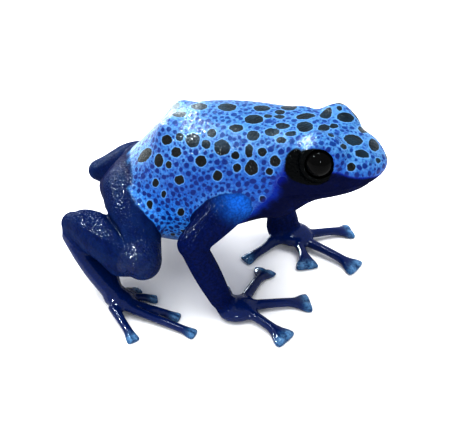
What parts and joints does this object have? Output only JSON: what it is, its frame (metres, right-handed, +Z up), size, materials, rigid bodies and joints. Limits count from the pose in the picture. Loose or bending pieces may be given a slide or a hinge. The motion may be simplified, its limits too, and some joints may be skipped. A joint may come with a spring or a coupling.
{
  "type": "blue poison dart frog",
  "caption": "Life-size still model of a blue poison dart frog, standing high on its arms with hind legs folded and toes spread flat.",
  "frame": {"origin": "on the floor, under the middle of the box round the whole frog", "axes": "+X towards the snout, +Y to the frog's left, +Z up"},
  "size_m": [0.0482, 0.0394, 0.0287],
  "materials": {
    "back_skin": "moist, finely grained",
    "limb_skin": "moist, finely grained",
    "eye": "wet gloss"
  },
  "bodies": {
    "root": {"torso": "back_skin", "head": "back_skin", "lower_jaw": "limb_skin", "eye_left": "eye", "tympanum_left": "limb_skin", "upper_arm_left": "limb_skin", "forearm_left": "limb_skin", "hand_left": "limb_skin", "finger_left_1": "limb_skin", "finger_left_2": "limb_skin", "finger_left_3": "limb_skin", "finger_left_4": "limb_skin", "thigh_left": "limb_skin", "shank_left": "limb_skin", "tarsus_left": "limb_skin", "foot_left": "limb_skin", "toe_left_1": "limb_skin", "toe_left_2": "limb_skin", "toe_left_3": "limb_skin", "toe_left_4": "limb_skin", "toe_left_5": "limb_skin", "eye_right": "eye", "tympanum_right": "limb_skin", "upper_arm_right": "limb_skin", "forearm_right": "limb_skin", "hand_right": "limb_skin", "finger_right_1": "limb_skin", "finger_right_2": "limb_skin", "finger_right_3": "limb_skin", "finger_right_4": "limb_skin", "thigh_right": "limb_skin", "shank_right": "limb_skin", "tarsus_right": "limb_skin", "foot_right": "limb_skin", "toe_right_1": "limb_skin", "toe_right_2": "limb_skin", "toe_right_3": "limb_skin", "toe_right_4": "limb_skin", "toe_right_5": "limb_skin"}
  },
  "joints": []
}
